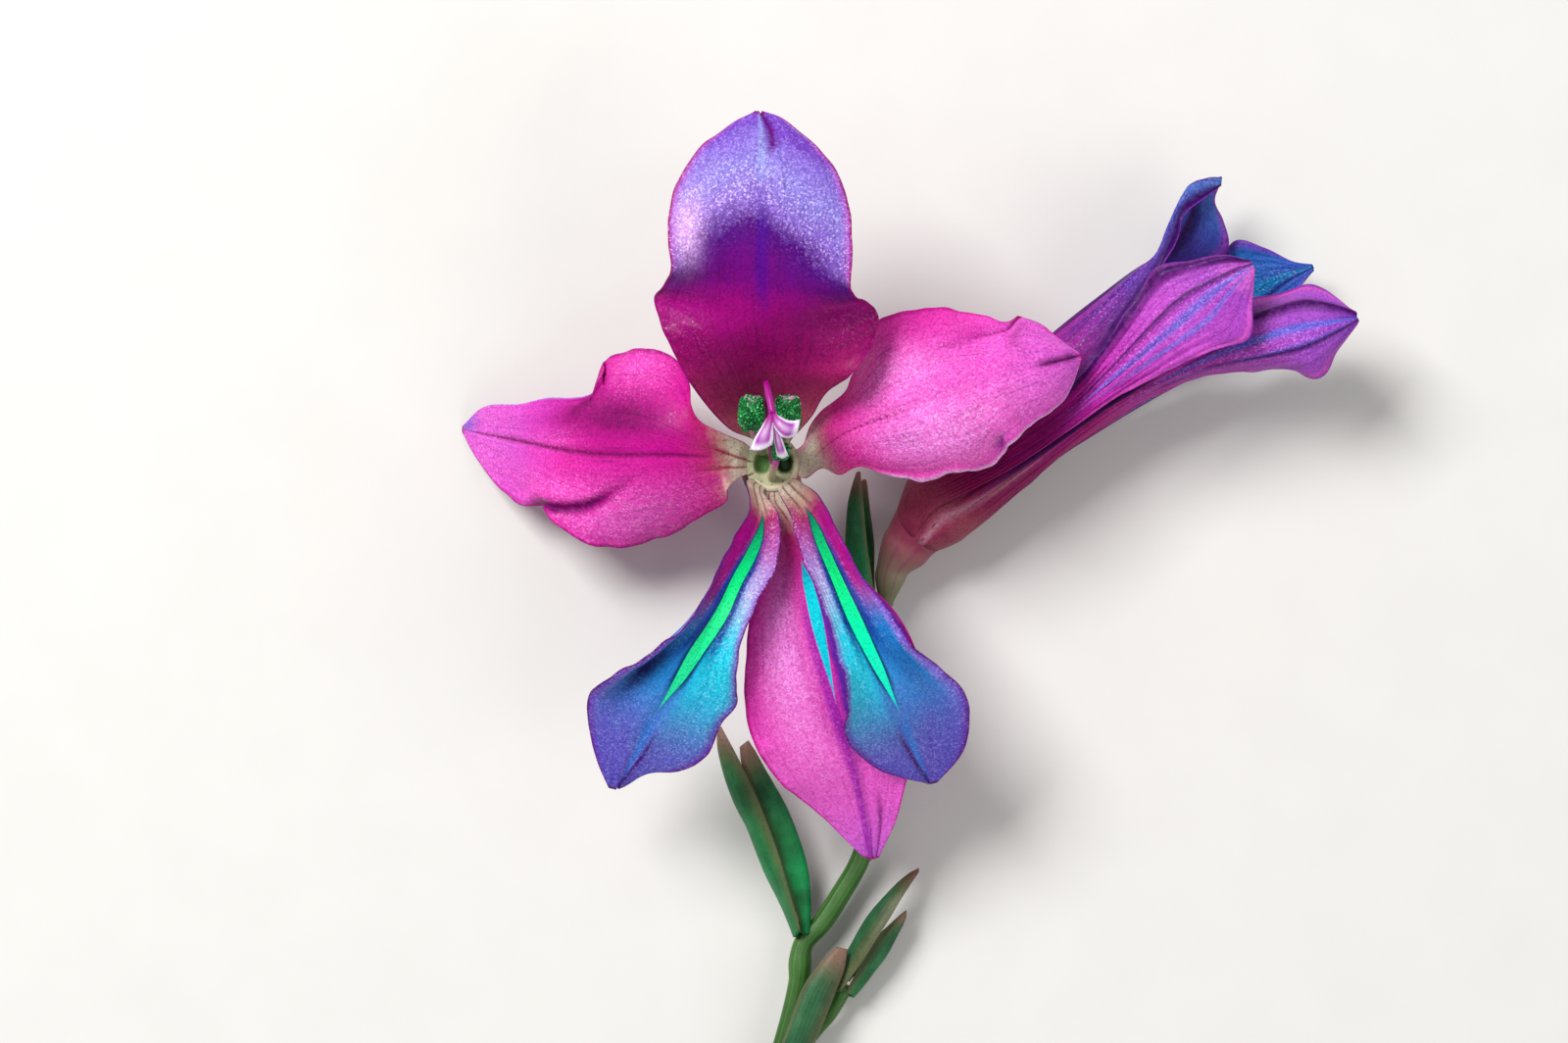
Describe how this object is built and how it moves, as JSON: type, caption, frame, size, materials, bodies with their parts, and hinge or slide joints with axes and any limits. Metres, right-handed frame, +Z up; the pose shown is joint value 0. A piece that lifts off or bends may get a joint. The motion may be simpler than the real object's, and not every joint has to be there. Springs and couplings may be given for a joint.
{
  "type": "byzantine gladiolus",
  "caption": "Cut gladiolus spike lying down, with a flower open upwards, a flower on its side, green bracts, young pods and a bare stem",
  "frame": {"origin": "middle of the box round the spray, on the surface it lies on", "axes": "+Y runs from the cut end towards the flowers, +X to the side flower, +Z up out of the open flower"},
  "size_m": [0.0842, 0.1572, 0.0348],
  "materials": {
    "tepal_lilac": "crystalline petal",
    "tepal_magenta": "crystalline petal",
    "tepal_pink": "crystalline petal",
    "tepal_marked": "crystalline petal",
    "tepal_violet": "crystalline petal",
    "throat": "matte petal",
    "bract": "matte leaf",
    "stem": "matte stem",
    "anther": "granular pollen sac",
    "stigma": "soft thread"
  },
  "bodies": {
    "root": {"front_tepal_upper": "tepal_lilac", "front_tepal_left": "tepal_magenta", "front_tepal_right": "tepal_pink", "front_tepal_lower_left": "tepal_marked", "front_tepal_lower_right": "tepal_marked", "front_tepal_lower_middle": "tepal_magenta", "side_tepal_upper": "tepal_violet", "side_tepal_upper_near": "tepal_violet", "side_tepal_lower_near": "tepal_violet", "side_tepal_lower_middle": "tepal_violet", "side_tepal_lower_far": "tepal_violet", "side_tepal_upper_far": "tepal_violet", "front_tube": "throat", "side_tube": "tepal_violet", "front_left_filament": "stigma", "front_right_filament": "stigma", "front_middle_filament": "stigma", "side_near_filament": "stigma", "side_middle_filament": "stigma", "side_far_filament": "stigma", "front_left_anther": "anther", "front_right_anther": "anther", "front_middle_anther": "anther", "side_near_anther": "anther", "side_middle_anther": "anther", "side_far_anther": "anther", "front_style": "stigma", "side_style": "stigma", "pod_bract_outer": "bract", "pod_bract_inner": "bract", "branch_bract": "bract", "bud_bract_outer": "bract", "bud_bract_inner": "bract", "front_bract_outer": "bract", "side_bract_outer": "bract", "side_bract_inner": "bract", "pod_upper": "bract", "pod_lower": "bract", "stem": "stem"}
  },
  "joints": []
}
